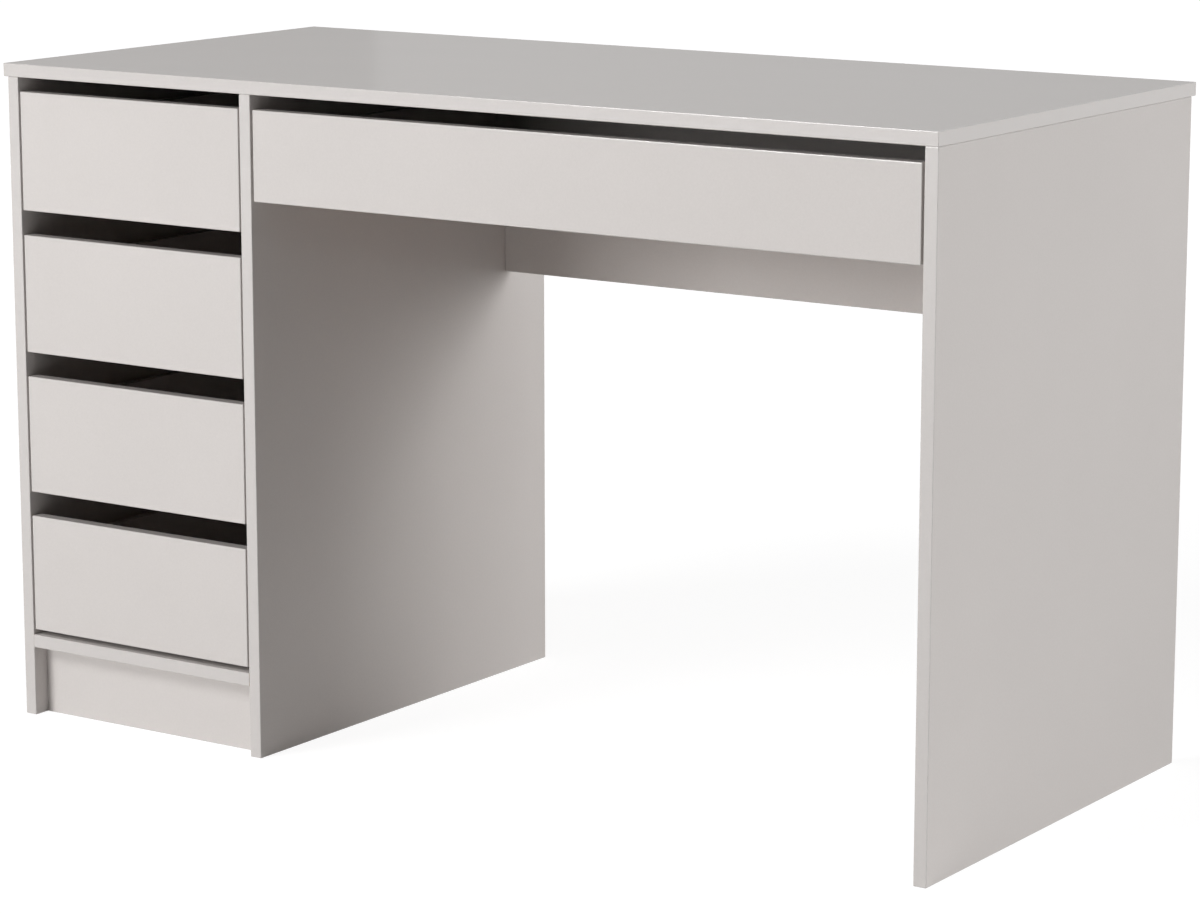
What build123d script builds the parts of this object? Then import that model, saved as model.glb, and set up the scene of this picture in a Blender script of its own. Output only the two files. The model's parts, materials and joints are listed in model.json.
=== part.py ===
from build123d import *
import os
from collections import defaultdict, namedtuple
from functools import cache

# Writing desk with a four-drawer pedestal, a wide centre drawer over the knee space and a rear apron.
# Millimetres. X runs right, Y back and Z up, from the floor under the middle of the desk top.

# Boards and overall size
desk_width = 1200.0
desk_depth = 562.0
desk_height = 753.0
board = 15.0  # carcass boards and drawer fronts
thin_board = 12.0  # drawer sides and backs
sheet = 3.0  # pedestal back and drawer bottoms
edge_radius = 1.0  # rounding of the banded edges
rounding_limit = 0.4  # largest rounding, as a share of a board's thickness

# Carcass
left_overhang = 6.5  # desk top past the left panel
rear_overhang = 10.0  # desk top past the rear edges of the panels
pedestal_opening = 318.5  # clear width between the left panel and the divider
plinth_height = 80.5
plinth_setback = 20.5
apron_height = 250.0
apron_inset = 66.5  # from the rear edges of the panels to the apron
back_inset = 12.0  # from the rear edges of the panels to the pedestal back
groove_depth = 6.0  # grooves that hold the thin sheets
groove_clearance = 0.2

# Drawer fronts
pedestal_drawers = 4
top_gap = 16.0  # finger gap under the desk top
front_gap = 28.0  # finger gap between two pedestal fronts
sill_gap = 6.5  # under the lowest front
pedestal_side_gap = 2.25
centre_side_gap = 3.0
centre_front_height = 99.5
front_recess = 0.5  # fronts behind the front edges of the panels

# Drawer boxes
pedestal_side_drop = 28.5  # top of the box below the top of its front
centre_side_drop = 20.0
side_rise = 15.0  # bottom of the box above the bottom of its front
bottom_rise = 10.0  # drawer bottom above the lower edge of the sides
box_surplus = 15.0  # length of the box past the length of its runners

# Telescopic runners: a cabinet rail, a middle rail and a drawer rail, one inside the other
runner_step = 50.0  # runners come in lengths of this step
runner_width = 12.7
runner_height = 45.0
rail_setback = 2.0  # behind the drawer front
rail_sheet = 1.2
rail_bend = 1.0
rail_clearance = 0.5
ball_room = 3.0  # height of the ball tracks between the rails
cage_width = 4.0
cage_clearance = 0.3

# Cam connectors and dowels
cam_diameter = 15.0
cam_reach = 34.0  # from the joint to the middle of the cam
small_cam_diameter = 12.0
small_cam_reach = 24.0
cam_skin = 2.5  # board left under a cam
cam_sink = 0.2  # face of a cam below the board
cross_length = 8.0  # cross recess in the face of a cam
cross_width = 1.4
cross_depth = 2.0
bolt_diameter = 6.0
bolt_neck = 3.6
bolt_head_length = 3.0
thread_diameter = 5.0
thread_depth = 10.5
dowel_diameter = 8.0
dowel_length = 30.0
dowel_in_face = 10.5
dowel_chamfer = 1.0
hole_clearance = 0.1

# Where the connectors sit
front_margin = 60.0
rear_margin = 40.0
apron_end_margin = 40.0
apron_top_margin = 200.0
dowel_spacing = 45.0
plinth_dowel_spacing = 24.0
box_bolt_margin = 12.0

# Screws and pins
screw_diameter = 3.5
screw_head = 7.0
pan_height = 1.2
countersink = 2.0
rail_screws = 3
rail_screw_margin = 35.0
rail_screw_skin = 2.0  # drawer side left beyond a rail screw
access_clearance = 1.0  # round a screw head, in the middle rails
back_screw_length = 30.0
bottom_screw_length = 16.0
bottom_screw_pitch = 130.0
pin_diameter = 1.6
pin_head = 4.0
pin_head_height = 0.8
pin_length = 20.0
back_pins = 3

# Levels and faces that follow from the sizes
desk_front = -desk_depth / 2
desk_right = desk_width / 2
top_underside = desk_height - board
left_outer = -desk_width / 2 + left_overhang
left_inner = left_outer + board
divider_left = left_inner + pedestal_opening
divider_right = divider_left + board
right_inner = desk_right - board
panel_back = desk_depth / 2 - rear_overhang
back_sheet_rear = panel_back - back_inset
back_sheet_front = back_sheet_rear - sheet
sill_top = plinth_height + board
plinth_front = desk_front + plinth_setback
apron_low = top_underside - apron_height
apron_rear = panel_back - apron_inset
apron_front = apron_rear - board
front_face = desk_front + front_recess
box_front = front_face + board
runner_room = apron_front - box_surplus - box_front
runner_length = runner_step * (runner_room // runner_step)
box_back = box_front + runner_length + box_surplus
rail_front = box_front + rail_setback
fronts_room = top_underside - top_gap - sill_top - sill_gap
front_height = (fronts_room - (pedestal_drawers - 1) * front_gap) / pedestal_drawers

cabinet_half = runner_height / 2
middle_half = cabinet_half - rail_sheet - ball_room
drawer_half = middle_half - rail_sheet - ball_room
middle_web = rail_sheet + pan_height + rail_clearance
flange_end = runner_width - rail_sheet - rail_clearance
drawer_flange_end = middle_web + rail_sheet + rail_clearance

# The two spaces that hold drawers, with the panels on either side of them
Bay = namedtuple("Bay", "left_panel left right_panel right")
pedestal_bay = Bay("left_side_panel", left_inner, "divider_panel", divider_left)
knee_bay = Bay("divider_panel", divider_right, "right_side_panel", right_inner)

boards = {}  # boards by node name, before drilling
holes = defaultdict(list)  # what is cut from each board
hardware = defaultdict(list)  # rails, cams, bolts, dowels and screws by node name


def block(low, high):
    """A box between two opposite corners."""
    length, width, height = (b - a for a, b in zip(low, high))
    return Pos(*low) * Box(length, width, height, align=Align.MIN)


def rod(radius, low, high):
    """A round rod along Z between two levels."""
    align = (Align.CENTER, Align.CENTER, Align.MIN)
    return Pos(0, 0, low) * Cylinder(radius, high - low, align=align)


def spread(low, high, count):
    """Evenly spaced places from low to high, both included, or one in the middle."""
    if count == 1:
        return [(low + high) / 2]
    return [low + (high - low) * i / (count - 1) for i in range(count)]


rail_screw_places = spread(rail_screw_margin, runner_length - rail_screw_margin, rail_screws)


def rounded(body, edges):
    """A board with the given edges rounded, no further than its thickness allows."""
    thickness = min(body.bounding_box().size)
    return fillet(edges, min(edge_radius, rounding_limit * thickness))


def banded_board(low, high):
    """A board with edge bands all round."""
    body = block(low, high)
    return rounded(body, body.edges())


def lipped_board(low, high, face_axis, end):
    """A board banded along one long edge: the first (0) or last (-1) face along an axis."""
    body = block(low, high)
    edges = body.faces().sort_by(face_axis)[end].edges().filter_by(Axis.X)
    return rounded(body, edges)


class Connector:
    """A cam lock and its bolt. Z runs into the board that holds the cam, X towards the cam's face."""

    def __init__(self, diameter, reach, wall):
        self.radius = diameter / 2
        self.reach = reach
        self.face = wall / 2
        self.floor = cam_skin - wall / 2

    def barrel(self, radius, low, high):
        """A round barrel across the board at the cam's place."""
        return Pos(0, 0, self.reach) * Rot(0, 90, 0) * rod(radius, low, high)

    @cache
    def cam(self):
        """The cam lock, with a cross recess in its face and a bore that takes the bolt's head."""
        face = self.face - cam_sink
        body = self.barrel(self.radius, self.floor, face)
        half = cross_length / 2
        edge = cross_width / 2
        upright = block((face - cross_depth, -edge, self.reach - half), (face, edge, self.reach + half))
        level = block((face - cross_depth, -half, self.reach - edge), (face, half, self.reach + edge))
        bore = rod(bolt_diameter / 2 + hole_clearance, 0, self.reach + bolt_head_length)
        return body - [upright, level, bore]

    @cache
    def bolt(self):
        """The bolt: a thread in the other board, a shank, a neck and the head inside the cam."""
        shank_end = self.reach - self.radius
        thread = rod(thread_diameter / 2, -thread_depth, 0)
        shank = rod(bolt_diameter / 2, 0, shank_end)
        neck = rod(bolt_neck / 2, shank_end, self.reach)
        head = rod(bolt_diameter / 2, self.reach, self.reach + bolt_head_length - hole_clearance)
        return thread + shank + neck + head

    @cache
    def cam_hole(self):
        """What is drilled from the board that holds the cam."""
        seat = self.barrel(self.radius + hole_clearance, self.floor - hole_clearance, self.face)
        return seat + rod(bolt_diameter / 2 + hole_clearance, 0, self.reach)

    @cache
    def thread_hole(self):
        """What is drilled from the board that takes the bolt's thread."""
        return rod(thread_diameter / 2 + hole_clearance, -thread_depth - hole_clearance, 0)


carcass_connector = Connector(cam_diameter, cam_reach, board)
box_connector = Connector(small_cam_diameter, small_cam_reach, thin_board)


def fit_connector(connector, place, face_node, edge_node, cams, bolts):
    """Put a connector at a joint and drill both boards for it."""
    hardware[cams].append(place * connector.cam())
    hardware[bolts].append(place * connector.bolt())
    holes[edge_node].append(place * connector.cam_hole())
    holes[face_node].append(place * connector.thread_hole())


def fit_dowel(place, face_node, edge_node):
    """Put a dowel across a joint and drill both boards for it."""
    in_edge = dowel_length - dowel_in_face
    dowel = rod(dowel_diameter / 2, -dowel_in_face, in_edge)
    rims = dowel.edges().filter_by(GeomType.CIRCLE)
    hardware["dowels"].append(place * chamfer(rims, dowel_chamfer))
    hole = rod(
        dowel_diameter / 2 + hole_clearance,
        -dowel_in_face - hole_clearance,
        in_edge + hole_clearance,
    )
    holes[face_node].append(place * hole)
    holes[edge_node].append(place * hole)


def corner_joint(origin, inwards, cam_side, dowel_offsets, face_node, edge_node):
    """A cam connector with dowels beside it, at offsets along the joint."""
    place = Plane(origin, x_dir=cam_side, z_dir=inwards)
    fit_connector(carcass_connector, place, face_node, edge_node, "cam_locks", "cam_bolts")
    for offset in dowel_offsets:
        beside = Vector(*origin) + Vector(*offset)
        fit_dowel(Plane(beside, x_dir=cam_side, z_dir=inwards), face_node, edge_node)


@cache
def pan_screw(reach, grow=0.0):
    """A pan-head screw: its thread runs down from the origin, and its head stands on it."""
    thread = rod(screw_diameter / 2 + grow, -reach - grow, 0)
    return thread + rod(screw_head / 2 + grow, 0, pan_height + grow)


@cache
def countersunk_screw(reach, grow=0.0):
    """A countersunk screw with its head flush at the origin."""
    thread = rod(screw_diameter / 2 + grow, -reach - grow, 0)
    align = (Align.CENTER, Align.CENTER, Align.MAX)
    head = Cone(screw_diameter / 2 + grow, screw_head / 2 + grow, countersink, align=align)
    return thread + head


def fit_screw(make, reach, origin, outwards, screw_node, drilled_nodes):
    """Put a screw through one piece into another, and drill both for it."""
    place = Plane(origin, z_dir=outwards)
    hardware[screw_node].append(place * make(reach))
    for node in drilled_nodes:
        holes[node].append(place * make(reach, hole_clearance))


def carcass_boards():
    """Desk top, the three upright panels, the pedestal's bottom, plinth and back, and the apron."""
    half = desk_width / 2
    boards["desk_top"] = banded_board(
        (-half, desk_front, top_underside), (half, desk_depth / 2, desk_height)
    )
    uprights = {
        "left_side_panel": (left_outer, left_inner),
        "divider_panel": (divider_left, divider_right),
        "right_side_panel": (right_inner, desk_right),
    }
    for name, (low, high) in uprights.items():
        boards[name] = banded_board((low, desk_front, 0), (high, panel_back, top_underside))
    boards["pedestal_bottom_panel"] = lipped_board(
        (left_inner, desk_front, plinth_height), (divider_left, back_sheet_front, sill_top), Axis.Y, 0
    )
    boards["plinth_panel"] = lipped_board(
        (left_inner, plinth_front, 0), (divider_left, plinth_front + board, plinth_height), Axis.Z, 0
    )
    boards["rear_apron"] = lipped_board(
        (divider_right, apron_front, apron_low), (right_inner, apron_rear, top_underside), Axis.Z, 0
    )


def pedestal_back():
    """The thin back, held in grooves of two panels and pinned to the pedestal's bottom."""
    tongue = groove_depth - groove_clearance
    boards["pedestal_back_panel"] = block(
        (left_inner - tongue, back_sheet_front, plinth_height),
        (divider_left + tongue, back_sheet_rear, top_underside),
    )
    groove = block(
        (left_inner - groove_depth, back_sheet_front, plinth_height),
        (divider_left + groove_depth, back_sheet_rear + groove_clearance, top_underside),
    )
    holes["left_side_panel"].append(groove)
    holes["divider_panel"].append(groove)
    level = plinth_height + board / 2
    for x in spread(left_inner + rear_margin, divider_left - rear_margin, back_pins):
        place = Plane((x, back_sheet_rear, level), z_dir=(0, 1, 0))
        pin = rod(pin_diameter / 2, -pin_length, 0) + rod(pin_head / 2, 0, pin_head_height)
        hole = rod(pin_diameter / 2 + hole_clearance, -pin_length - hole_clearance, 0)
        hardware["back_panel_pins"].append(place * pin)
        holes["pedestal_back_panel"].append(place * hole)
        holes["pedestal_bottom_panel"].append(place * hole)


def top_joints():
    """Connectors that hold the desk top on the uprights and the apron."""
    down = (0, 0, -1)
    uprights = {
        "left_side_panel": (left_outer, 1),
        "divider_panel": (divider_left, -1),
        "right_side_panel": (right_inner, -1),
    }
    for name, (low, side) in uprights.items():
        for y, step in ((desk_front + front_margin, 1), (panel_back - rear_margin, -1)):
            origin = (low + board / 2, y, top_underside)
            offsets = [(0, step * dowel_spacing, 0)]
            corner_joint(origin, down, (side, 0, 0), offsets, "desk_top", name)
    for x, step in ((divider_right + apron_top_margin, 1), (right_inner - apron_top_margin, -1)):
        origin = (x, apron_front + board / 2, top_underside)
        corner_joint(origin, down, (0, 1, 0), [(step * dowel_spacing, 0, 0)], "desk_top", "rear_apron")


def end_joints():
    """Connectors at the ends of the apron, the pedestal's bottom and the plinth."""
    rearwards = (0, 1, 0)
    for panel, x, inwards in (("divider_panel", divider_right, 1), ("right_side_panel", right_inner, -1)):
        for z, step in ((apron_low + apron_end_margin, 1), (top_underside - apron_end_margin, -1)):
            origin = (x, apron_front + board / 2, z)
            offsets = [(0, 0, step * dowel_spacing)]
            corner_joint(origin, (inwards, 0, 0), rearwards, offsets, panel, "rear_apron")
    for panel, x, inwards in (("left_side_panel", left_inner, 1), ("divider_panel", divider_left, -1)):
        direction = (inwards, 0, 0)
        for y, step in ((desk_front + front_margin, 1), (back_sheet_front - rear_margin, -1)):
            origin = (x, y, plinth_height + board / 2)
            offsets = [(0, step * dowel_spacing, 0)]
            corner_joint(origin, direction, (0, 0, -1), offsets, panel, "pedestal_bottom_panel")
        origin = (x, plinth_front + board / 2, plinth_height / 2)
        offsets = [(0, 0, -plinth_dowel_spacing), (0, 0, plinth_dowel_spacing)]
        corner_joint(origin, direction, rearwards, offsets, panel, "plinth_panel")


def channel(width, half_height, hole_diameter):
    """A rail of bent sheet along Y: its web at X = 0, its flanges towards +X, its web drilled for screws."""
    outer = block((0, 0, -half_height), (width, runner_length, half_height))
    bends = outer.faces().sort_by(Axis.X)[0].edges().filter_by(Axis.Y)
    inside = half_height - rail_sheet
    hollow = block((rail_sheet, 0, -inside), (width, runner_length, inside))
    across = Rot(0, 90, 0) * rod(hole_diameter / 2, 0, rail_sheet)
    return fillet(bends, rail_bend) - [hollow, *(Pos(0, y, 0) * across for y in rail_screw_places)]


def rails():
    """The three rails of a left-hand runner, between the carcass at X = 0 and the drawer."""
    screw_hole = screw_diameter + 2 * hole_clearance
    access_hole = screw_head + 2 * access_clearance
    cabinet = channel(flange_end, cabinet_half, screw_hole)
    middle = Pos(middle_web, 0, 0) * channel(flange_end - middle_web, middle_half, access_hole)
    drawer = mirror(channel(runner_width - drawer_flange_end, drawer_half, screw_hole), about=Plane.YZ)
    return cabinet, middle, Pos(runner_width, 0, 0) * drawer


def ball_cages():
    """Four ball strips that ride on the middle rail: two in its rear half, two in its front half."""
    middle = (middle_web + rail_sheet + flange_end) / 2
    low = middle - cage_width / 2
    high = middle + cage_width / 2
    half = runner_length / 2
    thickness = ball_room - cage_clearance
    outer = block((low, half, middle_half), (high, runner_length, middle_half + thickness))
    ceiling = middle_half - rail_sheet
    inner = block((low, 0, ceiling - thickness), (high, half, ceiling))
    upper = [outer, inner]
    return upper + [mirror(strip, about=Plane.XY) for strip in upper]


@cache
def runner(inwards):
    """The pieces of one runner: cabinet rails, middle rails, drawer rails and ball cages."""
    cabinet, middle, drawer = rails()
    groups = [[cabinet], [middle], [drawer], ball_cages()]
    if inwards > 0:
        return groups
    return [[mirror(piece, about=Plane.YZ) for piece in group] for group in groups]


def fit_runner(drawer, panel, side, face, inwards, level):
    """One runner of a drawer, from a carcass face inwards, with its screws."""
    place = Pos(face, rail_front, level)
    endings = ("middle_rails", "drawer_rails", "ball_cages")
    nodes = ["cabinet_rails", *(f"{drawer}_{ending}" for ending in endings)]
    for node, pieces in zip(nodes, runner(inwards)):
        hardware[node].extend(place * piece for piece in pieces)
    reach = thin_board - rail_screw_skin + rail_sheet
    for y in rail_screw_places:
        on_cabinet = (face + inwards * rail_sheet, rail_front + y, level)
        fit_screw(pan_screw, reach, on_cabinet, (inwards, 0, 0), "cabinet_rail_screws", [panel])
        on_drawer = (face + inwards * (runner_width - rail_sheet), rail_front + y, level)
        fit_screw(pan_screw, reach, on_drawer, (-inwards, 0, 0), f"{drawer}_fixings", [side])


def drawer_box(drawer, left, right, low, high):
    """Sides, back and bottom of a drawer box between two outer faces and two levels."""
    inner_left = left + thin_board
    inner_right = right - thin_board
    bottom_low = low + bottom_rise
    bottom_high = bottom_low + sheet
    boards[f"{drawer}_left_side"] = block((left, box_front, low), (inner_left, box_back, high))
    boards[f"{drawer}_right_side"] = block((inner_right, box_front, low), (right, box_back, high))
    boards[f"{drawer}_back"] = block(
        (inner_left, box_back - thin_board, bottom_high), (inner_right, box_back, high)
    )
    tongue = groove_depth - groove_clearance
    boards[f"{drawer}_bottom"] = block(
        (inner_left - tongue, box_front - tongue, bottom_low),
        (inner_right + tongue, box_back, bottom_high),
    )
    groove = block(
        (inner_left - groove_depth, box_front - groove_depth, bottom_low),
        (inner_right + groove_depth, box_back, bottom_high + groove_clearance),
    )
    for piece in ("front", "left_side", "right_side"):
        holes[f"{drawer}_{piece}"].append(groove)


def box_fixings(drawer, left, right, low, high):
    """Connectors to the front, screws into the back and screws under the bottom."""
    fixings = f"{drawer}_fixings"
    bottom_low = low + bottom_rise
    bottom_high = bottom_low + sheet
    back_middle = box_back - thin_board / 2
    lowest = bottom_high + box_bolt_margin
    highest = high - box_bolt_margin
    levels = spread(lowest, highest, 2 if highest - lowest > 2 * small_cam_diameter else 1)
    for side, outer, inwards in (("left", left, 1), ("right", right, -1)):
        side_node = f"{drawer}_{side}_side"
        for level in levels:
            origin = (outer + inwards * thin_board / 2, box_front, level)
            place = Plane(origin, x_dir=(inwards, 0, 0), z_dir=(0, 1, 0))
            fit_connector(box_connector, place, f"{drawer}_front", side_node, fixings, fixings)
            fit_screw(
                countersunk_screw,
                back_screw_length,
                (outer, back_middle, level),
                (-inwards, 0, 0),
                fixings,
                [side_node, f"{drawer}_back"],
            )
    first = left + thin_board + rear_margin
    last = right - thin_board - rear_margin
    count = 1 + max(1, round((last - first) / bottom_screw_pitch))
    for x in spread(first, last, count):
        origin = (x, back_middle, bottom_low)
        drilled = [f"{drawer}_bottom", f"{drawer}_back"]
        fit_screw(pan_screw, bottom_screw_length, origin, (0, 0, -1), fixings, drilled)


def drawer(name, bay, front_low, height, side_gap, side_drop):
    """One drawer with its runners, between the two panels of a bay."""
    boards[f"{name}_front"] = banded_board(
        (bay.left + side_gap, front_face, front_low),
        (bay.right - side_gap, box_front, front_low + height),
    )
    low = front_low + side_rise
    high = front_low + height - side_drop
    box_left = bay.left + runner_width
    box_right = bay.right - runner_width
    drawer_box(name, box_left, box_right, low, high)
    box_fixings(name, box_left, box_right, low, high)
    level = (low + high) / 2
    fit_runner(name, bay.left_panel, f"{name}_left_side", bay.left, 1, level)
    fit_runner(name, bay.right_panel, f"{name}_right_side", bay.right, -1, level)


def all_drawers():
    """The pedestal's drawers, numbered from the top, and the wide centre drawer."""
    highest = top_underside - top_gap
    for number in range(1, pedestal_drawers + 1):
        front_low = highest - number * front_height - (number - 1) * front_gap
        name = f"drawer_{number}"
        drawer(name, pedestal_bay, front_low, front_height, pedestal_side_gap, pedestal_side_drop)
    front_low = highest - centre_front_height
    drawer("centre_drawer", knee_bay, front_low, centre_front_height, centre_side_gap, centre_side_drop)


def write_parts():
    """Drill the boards and write one file for each node."""
    os.makedirs("parts", exist_ok=True)
    for name, body in boards.items():
        drilled = body - holes[name] if holes[name] else body
        export_step(drilled, f"parts/{name}.step")
    for name, pieces in hardware.items():
        solids = [solid for piece in pieces for solid in piece.solids()]
        export_step(Compound(solids), f"parts/{name}.step")


carcass_boards()
pedestal_back()
top_joints()
end_joints()
all_drawers()
write_parts()
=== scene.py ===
import json
import math
from collections import namedtuple
from functools import cache

import bmesh
import bpy
from bpy.props import FloatProperty, FloatVectorProperty, IntProperty, PointerProperty
from mathutils import Matrix, Vector

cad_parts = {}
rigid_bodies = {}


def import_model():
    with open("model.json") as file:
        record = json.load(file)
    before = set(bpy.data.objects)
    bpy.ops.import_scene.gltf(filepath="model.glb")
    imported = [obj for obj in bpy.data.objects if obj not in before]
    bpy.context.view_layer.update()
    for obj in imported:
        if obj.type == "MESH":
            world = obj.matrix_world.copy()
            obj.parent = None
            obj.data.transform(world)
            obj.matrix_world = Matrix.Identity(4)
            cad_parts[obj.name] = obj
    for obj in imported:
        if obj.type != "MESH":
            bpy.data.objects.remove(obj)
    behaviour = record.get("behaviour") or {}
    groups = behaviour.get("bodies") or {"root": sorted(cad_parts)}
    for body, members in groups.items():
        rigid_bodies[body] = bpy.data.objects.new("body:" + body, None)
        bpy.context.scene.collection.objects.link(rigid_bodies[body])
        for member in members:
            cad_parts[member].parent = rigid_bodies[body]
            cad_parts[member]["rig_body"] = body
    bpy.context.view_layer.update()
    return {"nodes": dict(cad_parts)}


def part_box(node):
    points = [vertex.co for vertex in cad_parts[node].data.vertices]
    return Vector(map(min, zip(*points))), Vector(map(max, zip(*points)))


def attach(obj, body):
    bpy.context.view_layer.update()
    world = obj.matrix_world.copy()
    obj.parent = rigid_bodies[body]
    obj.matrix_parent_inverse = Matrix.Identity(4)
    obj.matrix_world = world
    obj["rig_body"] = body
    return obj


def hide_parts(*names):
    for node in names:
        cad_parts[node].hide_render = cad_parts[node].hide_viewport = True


bl_info = {
    "name": "Writing desk with drawers",
    "version": (1, 0, 0),
    "blender": (4, 5, 0),
    "location": "View3D > Sidebar > Desk",
    "description": "Builds the boards, drawers, runners and fittings of a writing desk in their finishes",
    "category": "Object",
}

# Metres. X runs right, Y back and Z up, from the floor under the middle of the desk top.
MM = 0.001
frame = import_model()
DRAWERS = sorted(name.removesuffix("_front") for name in frame["nodes"] if name.endswith("_front"))

# The six faces of a board: the axis that each looks along, and which end of it
SIDES = {
    "left": (0, 0),
    "right": (0, 1),
    "front": (1, 0),
    "rear": (1, 1),
    "low": (2, 0),
    "high": (2, 1),
}
ALL_ROUND = tuple(SIDES)
CARCASS_BANDS = {
    "desk_top": ALL_ROUND,
    "left_side_panel": ALL_ROUND,
    "divider_panel": ALL_ROUND,
    "right_side_panel": ALL_ROUND,
    "pedestal_bottom_panel": ("front",),
    "plinth_panel": ("left", "right", "low"),
    "rear_apron": ("left", "right", "low"),
}
BOX_BANDS = ("high",)

# How the solids of the frame are read. A turned fitting is known by its radius.
FITTING_RADII = {
    "pin": 2.0 * MM,
    "bolt": 3.0 * MM,
    "screw": 3.5 * MM,
    "dowel": 4.0 * MM,
    "cam": 7.5 * MM,
}
LONG_SCREW = 20.0 * MM  # screws past this length are countersunk
HEAD_SHARE = 0.9  # points past this share of a fitting's radius are on its head
WELD = 0.001 * MM  # points nearer to each other than this are one point
FITTING_REACH = 0.3 * MM  # a fitting that goes deeper than this into a board has a hole there
SHEET_REACH = 1.0 * MM  # a thin sheet that goes deeper than this into a board has a groove there
SIZE_DIGITS = 5  # fittings whose sizes agree to this many decimals share a mesh
PLACE_DIGITS = 4  # screws whose places agree to this many decimals share a hole in a rail

# Sizes of the fittings that their outer radius and length don't give
THREAD_RADIUS = 1.75 * MM
THREAD_CORE = 0.7  # root of a thread, as a share of its radius
THREAD_PITCH = 1.4 * MM
SCREW_POINT = 2.5 * MM
PAN_HEIGHT = 1.2 * MM
PAN_RIM = 0.3 * MM  # upright rim under the dome of a pan head
PAN_FLAT = 2.0 * MM  # radius of the flat on top of the dome
DOME_STEPS = 4
COUNTERSINK = 2.0 * MM
BOLT_THREAD_RADIUS = 2.5 * MM
BOLT_THREAD_LENGTH = 10.5 * MM
BOLT_NECK_RADIUS = 1.8 * MM
BOLT_NECK_LENGTH = 6.0 * MM
BOLT_HEAD_LENGTH = 2.9 * MM
PIN_RADIUS = 0.8 * MM
PIN_POINT = 0.2 * MM  # radius of a pin's blunt point
PIN_HEAD_HEIGHT = 0.8 * MM
SHANK_RADII = {"pan": THREAD_RADIUS, "countersunk": THREAD_RADIUS, "pin": PIN_RADIUS}
DOWEL_FLUTES = 16
FLUTE_STEPS = 4  # faces across a flute
DOWEL_FLUTE_DEPTH = 0.3 * MM
DOWEL_CHAMFER = 1.0 * MM
RIM = 0.3 * MM  # rounding of the turned rims, and radius of a screw's point
TURNED_STEPS = 32  # faces round a turned piece
BEND_STEPS = 6  # faces along a bend of a rail
BALL_DETAIL = 2  # subdivisions of a ball
SHARP_ANGLE = math.radians(35.0)  # edges past this angle stay sharp
CAM_CROSS = (8.0 * MM, 1.4 * MM, 2.0 * MM)  # length, width and depth
SCREW_CROSS = (3.8 * MM, 0.8 * MM, 0.8 * MM)
DRIVER_ROOM = 1.0 * MM  # room round a screw's head in the holes for the driver
PAST_FACE = 2.0 * MM  # how far a cutter runs out of the face that it opens
BESIDE = -1  # makes a bevel take the finish of the faces beside it

# Sockets of the mix node. They share their names, so they go by number.
MIX_FACTOR = 0
NUMBER_A = 2
NUMBER_B = 3
NUMBER_RESULT = 0
COLOUR_A = 6
COLOUR_B = 7
COLOUR_RESULT = 2

Fitting = namedtuple("Fitting", "kind top axis radius length")
Lamp = namedtuple("Lamp", "name place aim width height power")

# Studio lamps: a key high on the front left and a low one that shines into the knee space, which the
# rounded edges both mirror as a fine line, two large ones far off on the right, and a faint one behind
# that the top mirrors
DESK_MIDDLE = (0.0, 0.0, 0.4)
LAMPS = (
    Lamp("key_softbox", (-2.95, -5.6, 5.0), DESK_MIDDLE, 3.0, 2.6, 240.0),
    Lamp("low_softbox", (-2.6, -6.5, 1.6), DESK_MIDDLE, 3.0, 1.6, 215.0),
    Lamp("right_softbox", (13.2, 3.6, 3.0), DESK_MIDDLE, 6.0, 6.0, 680.0),
    Lamp("right_rear_softbox", (12.0, 6.4, 3.6), DESK_MIDDLE, 6.8, 6.8, 455.0),
    Lamp("rear_softbox", (-2.24, 4.0, 1.6), (-2.24, 0.0, 1.6), 2.22, 2.2, 5.1),
)

# The floor glows a little less near the desk, so that its shadow shows, and is pure white further off
FLOOR_DROP = 0.1 * MM  # keeps the floor out of the plane of the desk's feet
NEAR_DISTANCE = 1.0
NEAR_GLOW = 0.9
FAR_DISTANCE = 5.0
FAR_GLOW = 1.0
SHADOW_PAPER = 0.25  # lightness of the paper that takes the shadow
WHITE = (1.0, 1.0, 1.0, 1.0)
SENSOR_WIDTH = 36.0  # millimetres, the frame that the camera's lens is given for


def linear(code):
    """An sRGB hex colour as linear red, green, blue and alpha."""
    shares = [int(code[i:i + 2], 16) / 255 for i in (1, 3, 5)]
    return (*(s / 12.92 if s <= 0.04045 else ((s + 0.055) / 1.055) ** 2.4 for s in shares), 1.0)


class DeskSizes(bpy.types.PropertyGroup):
    """Sizes of edges, clearances and runners."""

    edge_radius: FloatProperty(
        name="Edge radius",
        description="Rounding of the banded edges",
        default=1.0 * MM,
        unit="LENGTH",
    )
    eased_radius: FloatProperty(
        name="Eased radius",
        description="Rounding of the sawn edges",
        default=0.2 * MM,
        unit="LENGTH",
    )
    edge_segments: IntProperty(
        name="Edge segments",
        description="Faces across a rounded edge",
        default=5,
        min=1,
    )
    hole_clearance: FloatProperty(
        name="Hole clearance",
        description="Room round a fitting in its hole",
        default=0.1 * MM,
        unit="LENGTH",
    )
    groove_clearance: FloatProperty(
        name="Groove clearance",
        description="Room round a sheet in its groove",
        default=0.2 * MM,
        unit="LENGTH",
    )
    rail_sheet: FloatProperty(
        name="Rail sheet",
        description="Thickness of the runners' steel",
        default=1.2 * MM,
        unit="LENGTH",
    )
    rail_bend: FloatProperty(
        name="Rail bend",
        description="Bend radius along the middle of the steel",
        default=1.4 * MM,
        unit="LENGTH",
    )
    rail_lip: FloatProperty(
        name="Rail lip",
        description="Lip that keeps the balls in a cabinet rail",
        default=1.6 * MM,
        unit="LENGTH",
    )
    ball_pitch: FloatProperty(
        name="Ball pitch",
        description="Distance between two balls of a cage",
        default=14.0 * MM,
        unit="LENGTH",
    )


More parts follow.
